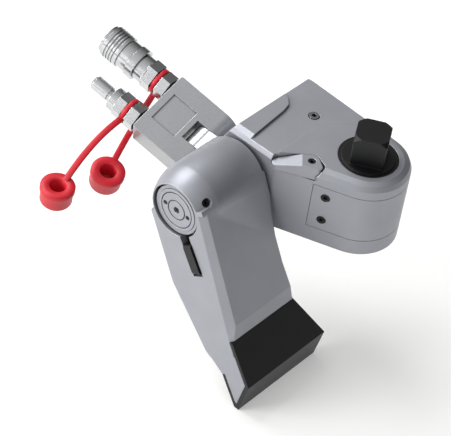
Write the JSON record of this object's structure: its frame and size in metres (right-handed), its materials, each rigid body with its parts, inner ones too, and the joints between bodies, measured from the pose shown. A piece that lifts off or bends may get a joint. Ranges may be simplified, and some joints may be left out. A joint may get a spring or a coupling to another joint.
{
  "type": "hydraulic torque wrench",
  "caption": "Square-drive hydraulic torque wrench with a ratchet lever worked by a piston, a reaction arm on the cylinder and a two-way hose swivel with quick couplers.",
  "frame": {"origin": "On the drive axis, in the plane of the head's upper face that the socket sits on.", "axes": "+Z along the square drive, away from the head; +X from the drive to the cylinder and the swivel; +Y along the cylinder to its gland."},
  "size_m": [0.2683, 0.1894, 0.2045],
  "materials": {
    "alloy": "satin bead-blasted",
    "steel": "ground",
    "black_steel": "black oxide",
    "plated": "bright zinc-nickel plate",
    "seal": "matt",
    "red_rubber": "moulded",
    "bronze": "turned"
  },
  "bodies": {
    "housing": {"housing": "alloy", "front_shroud": "alloy", "shroud_screws": "black_steel", "recess_screw": "steel", "end_gland": "alloy", "gland_seal": "seal", "upper_bush": "bronze", "lower_bush": "bronze", "swivel_stem": "steel", "stem_ring": "steel"},
    "drive": {"ratchet_wheel": "steel", "square_drive": "black_steel", "drive_retainer": "black_steel", "button_spring": "steel"},
    "button": {"retainer_button": "steel"},
    "lever": {"upper_drive_plate": "steel", "lower_drive_plate": "steel", "spring_block": "steel", "plate_pins": "steel", "pawl_springs": "steel"},
    "drive_pawl": {"drive_pawl": "steel"},
    "piston": {"piston_rod": "steel", "piston_seal": "seal", "rod_pin": "steel"},
    "release": {"release_lever": "alloy", "release_shaft": "black_steel", "reaction_pawl": "steel"},
    "arm": {"reaction_arm": "alloy", "foot_shoe": "black_steel", "arm_set_screw": "black_steel", "lock_pin": "steel"},
    "lock": {"lock_lever": "black_steel"},
    "yoke": {"swivel_yoke": "alloy"},
    "block": {"swivel_block": "alloy", "hinge_pin": "steel", "port_seals": "seal", "near_adapter": "plated", "far_adapter": "plated", "return_nipple": "plated", "nipple_poppet": "steel", "coupler_body": "plated", "coupler_poppet": "steel", "near_dust_cap": "red_rubber", "far_dust_cap": "red_rubber"},
    "sleeve": {"coupler_sleeve": "plated"}
  },
  "joints": [
    {"name": "piston_stroke", "type": "slide", "parent": "housing", "child": "piston", "axis": [0, -1, 0], "range_m": [0, 0.035]},
    {"name": "lever_swing", "type": "hinge", "parent": "housing", "child": "lever", "pos_m": [0, 0, -0.034], "axis": [0, 0, 1], "range_deg": [-26, 0]},
    {"name": "drive_turn", "type": "hinge", "parent": "housing", "child": "drive", "pos_m": [0, 0, -0.034], "axis": [0, 0, 1], "range_deg": [-26, 0]},
    {"name": "pawl_lift", "type": "slide", "parent": "lever", "child": "drive_pawl", "axis": [0.9745, 0.2244, 0], "range_m": [0, 0.003], "stiffness_N_per_m": 1500},
    {"name": "button_push", "type": "slide", "parent": "drive", "child": "button", "axis": [0, 0, 1], "range_m": [0, 0.002], "stiffness_N_per_m": 1500},
    {"name": "release_turn", "type": "hinge", "parent": "housing", "child": "release", "pos_m": [0.024, 0.036, -0.034], "axis": [0, 0, 1], "range_deg": [0, 15], "stiffness_Nm_per_rad": 0.5},
    {"name": "arm_index", "type": "hinge", "parent": "housing", "child": "arm", "pos_m": [0.076, 0.088, -0.034], "axis": [0, 1, 0], "range_deg": [-30, 40]},
    {"name": "lock_press", "type": "hinge", "parent": "arm", "child": "lock", "pos_m": [0.05603, 0.107, -0.06395], "axis": [-0.832, 0, 0.5548], "range_deg": [0, 6], "stiffness_Nm_per_rad": 1},
    {"name": "swivel_roll", "type": "hinge", "parent": "housing", "child": "yoke", "pos_m": [0.098, 0.039, -0.051], "axis": [1, 0, 0], "continuous": true},
    {"name": "swivel_tilt", "type": "hinge", "parent": "yoke", "child": "block", "pos_m": [0.124, 0.039, -0.051], "axis": [0, 0.9336, -0.3584], "range_deg": [-75, 75]},
    {"name": "sleeve_pull", "type": "slide", "parent": "block", "child": "sleeve", "axis": [-0.9659, -0.0928, -0.2416], "range_m": [0, 0.005], "stiffness_N_per_m": 1500}
  ],
  "couplings": [
    {"joint": "lever_swing", "follows": "piston_stroke", "rad_per_m": -12.932},
    {"joint": "drive_turn", "follows": "piston_stroke", "rad_per_m": -12.932}
  ]
}
